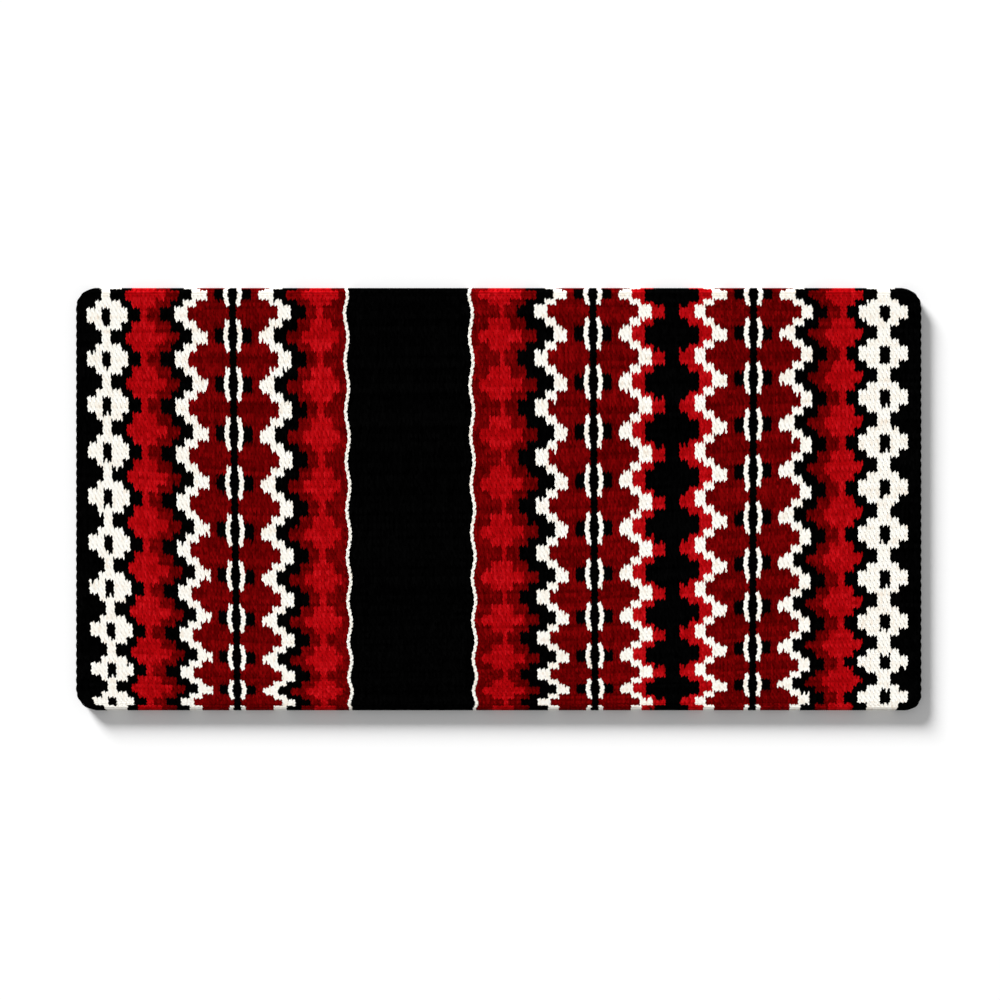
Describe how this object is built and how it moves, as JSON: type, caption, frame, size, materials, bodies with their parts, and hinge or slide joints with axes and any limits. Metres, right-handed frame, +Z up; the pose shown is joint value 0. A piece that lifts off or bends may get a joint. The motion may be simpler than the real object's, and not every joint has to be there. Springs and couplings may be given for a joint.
{
  "type": "saddle blanket",
  "caption": "Thick weft-faced woven wool saddle blanket with stepped banding across it, folded once along the spine and opening flat about the fold.",
  "frame": {"origin": "middle of the underside of the folded blanket, on the surface it lies on", "axes": "+X from the withers end to the rump end, +Y from the open selvedges to the fold on the spine, +Z up through the folded layers"},
  "size_m": [0.9144, 0.4572, 0.0133],
  "materials": {
    "black_wool": "matt woven wool",
    "cream_wool": "matt woven wool",
    "bright_red_wool": "matt woven wool",
    "mid_red_wool": "matt woven wool",
    "dark_red_wool": "matt woven wool",
    "cotton_warp": "twisted cotton yarn",
    "selvedge_cord": "twisted wool cord"
  },
  "bodies": {
    "off_side": {"off_front_border": "black_wool", "off_front_diamonds": "bright_red_wool", "off_front_medallions": "dark_red_wool", "off_front_steps": "mid_red_wool", "off_front_wave_line": "cream_wool", "off_seat_band": "black_wool", "off_rear_wave_line": "cream_wool", "off_rear_steps": "mid_red_wool", "off_middle_medallions": "dark_red_wool", "off_black_diamonds": "black_wool", "off_rear_medallions": "dark_red_wool", "off_rear_diamonds": "bright_red_wool", "off_rear_border": "black_wool", "off_front_heading": "black_wool", "off_rear_heading": "black_wool", "off_warp_yarn": "cotton_warp", "off_selvedge_cord": "selvedge_cord", "fold_front_border": "black_wool", "fold_front_diamonds": "bright_red_wool", "fold_front_medallions": "dark_red_wool", "fold_front_steps": "mid_red_wool", "fold_front_wave_line": "cream_wool", "fold_seat_band": "black_wool", "fold_rear_wave_line": "cream_wool", "fold_rear_steps": "mid_red_wool", "fold_middle_medallions": "dark_red_wool", "fold_black_diamonds": "black_wool", "fold_rear_medallions": "dark_red_wool", "fold_rear_diamonds": "bright_red_wool", "fold_rear_border": "black_wool", "fold_warp_yarn": "cotton_warp"},
    "near_side": {"near_front_border": "black_wool", "near_front_diamonds": "bright_red_wool", "near_front_medallions": "dark_red_wool", "near_front_steps": "mid_red_wool", "near_front_wave_line": "cream_wool", "near_seat_band": "black_wool", "near_rear_wave_line": "cream_wool", "near_rear_steps": "mid_red_wool", "near_middle_medallions": "dark_red_wool", "near_black_diamonds": "black_wool", "near_rear_medallions": "dark_red_wool", "near_rear_diamonds": "bright_red_wool", "near_rear_border": "black_wool", "near_front_heading": "black_wool", "near_rear_heading": "black_wool", "near_warp_yarn": "cotton_warp", "near_selvedge_cord": "selvedge_cord"}
  },
  "joints": [
    {"name": "spine_fold", "type": "hinge", "parent": "off_side", "child": "near_side", "pos_m": [0, 0.22195, 0.00665], "axis": [-1, 0, 0], "range_deg": [0, 180], "deforming": ["fold_front_border", "fold_front_diamonds", "fold_front_medallions", "fold_front_steps", "fold_front_wave_line", "fold_seat_band", "fold_rear_wave_line", "fold_rear_steps", "fold_middle_medallions", "fold_black_diamonds", "fold_rear_medallions", "fold_rear_diamonds", "fold_rear_border", "fold_warp_yarn"]}
  ]
}
